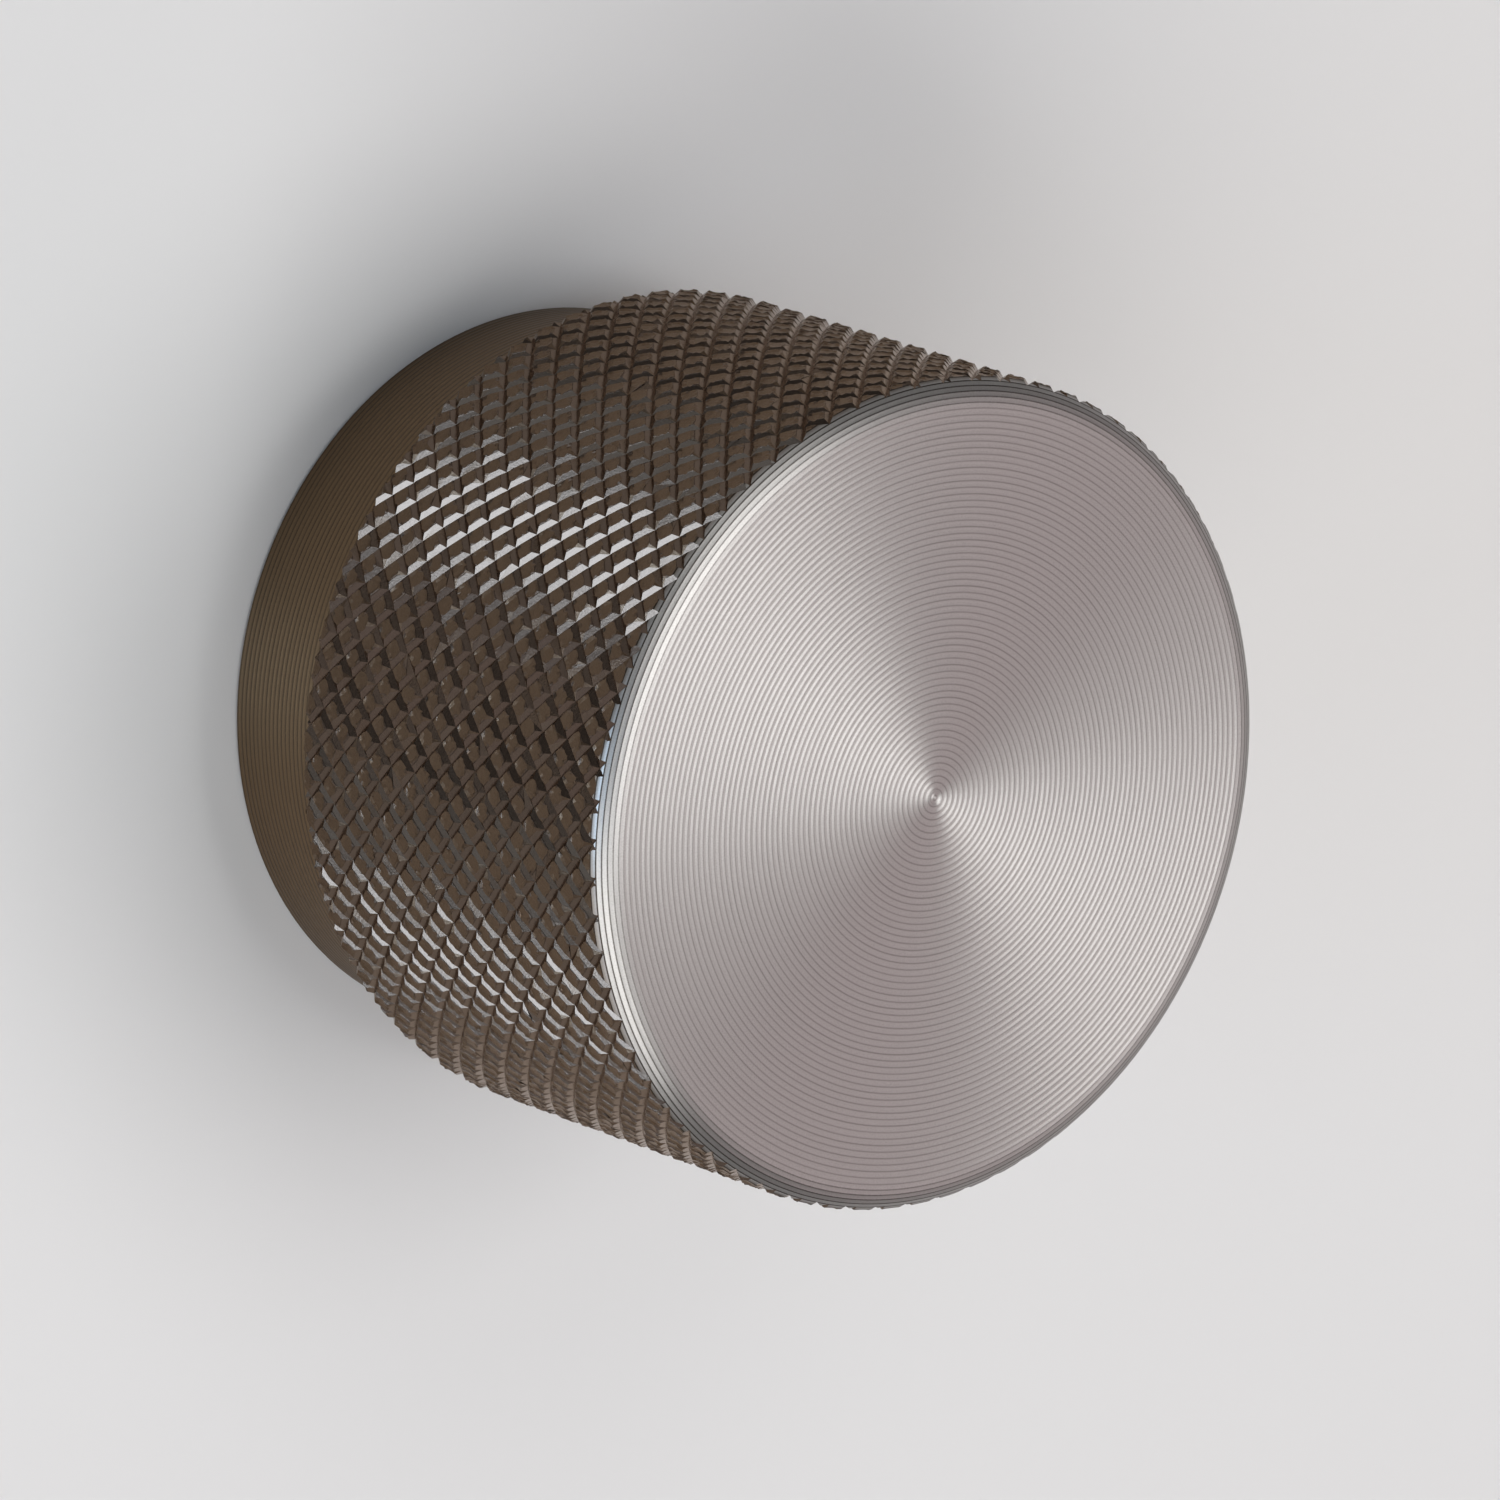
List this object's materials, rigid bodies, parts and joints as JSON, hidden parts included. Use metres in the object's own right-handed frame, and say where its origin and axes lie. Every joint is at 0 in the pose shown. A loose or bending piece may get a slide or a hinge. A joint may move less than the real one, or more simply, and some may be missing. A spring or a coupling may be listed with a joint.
{
  "type": "cabinet knob",
  "caption": "Round turned metal cabinet knob with a diamond-knurled grip, a flat front face, a plain collar and a threaded blind hole in the back.",
  "frame": {"origin": "centre of the flat back face, which sits on the drawer or door", "axes": "+Z along the knob's axis, out of the furniture towards the front face; X and Y in the plane of the back face"},
  "size_m": [0.032, 0.032, 0.025],
  "materials": {
    "satin_metal": "fine turned stainless steel, satin"
  },
  "bodies": {
    "root": {"knob": "satin_metal"}
  },
  "joints": []
}
